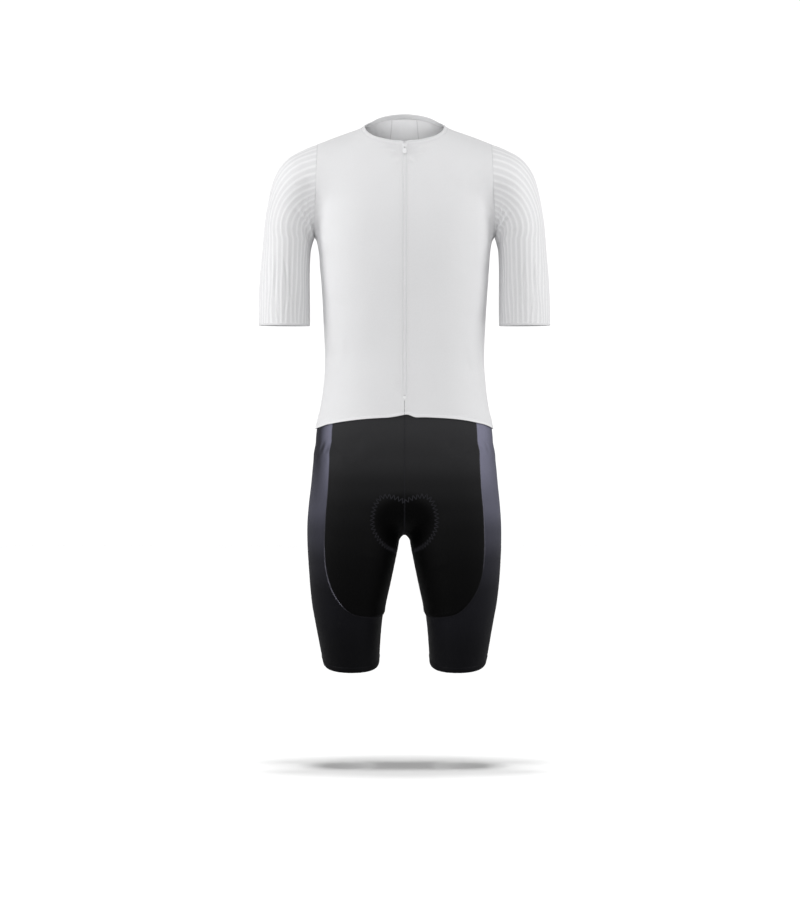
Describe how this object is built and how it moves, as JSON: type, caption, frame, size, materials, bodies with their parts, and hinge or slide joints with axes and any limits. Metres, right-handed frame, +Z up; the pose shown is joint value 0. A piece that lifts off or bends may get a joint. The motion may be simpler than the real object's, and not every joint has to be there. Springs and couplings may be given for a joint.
{
  "type": "cycling skinsuit",
  "caption": "One-piece road cycling skinsuit: white short-sleeved jersey with a full front zip over dark fitted shorts with a seat pad, worn form.",
  "frame": {"origin": "between the shoulders, level with the sides of the neck, where the wearer holds the suit up", "axes": "+Z up, the front faces -Y, and the wearer's left is +X"},
  "size_m": [0.4932, 0.2324, 0.9498],
  "materials": {
    "jersey_knit": "matt white polyester knit",
    "shorts_knit": "matt black stretch knit",
    "side_knit": "dark navy grey stretch knit with a sheen",
    "pad_foam": "black brushed knit over foam",
    "zip_tape": "white woven tape",
    "zip_nylon": "white moulded nylon",
    "zip_lacquer": "white lacquered metal"
  },
  "bodies": {
    "suit": {"front_left": "jersey_knit", "front_right": "jersey_knit", "back_left": "jersey_knit", "back_right": "jersey_knit", "back_centre": "jersey_knit", "sleeve_left": "jersey_knit", "sleeve_right": "jersey_knit", "neck_band": "jersey_knit", "zip_tape_left": "zip_tape", "zip_tape_right": "zip_tape", "zip_coil": "zip_nylon", "zip_stop": "zip_nylon", "zip_slider": "zip_lacquer", "shorts_front_left": "shorts_knit", "shorts_front_right": "shorts_knit", "shorts_back_left": "shorts_knit", "shorts_back_right": "shorts_knit", "side_leg_left": "side_knit", "side_leg_right": "side_knit", "seat_pad": "pad_foam"},
    "pull": {"zip_pull": "zip_lacquer"}
  },
  "joints": [
    {"name": "pull_swing", "type": "hinge", "parent": "suit", "child": "pull", "pos_m": [0, -0.07736, -0.03739], "axis": [-1, 0, 0], "range_deg": [0, 170]}
  ]
}
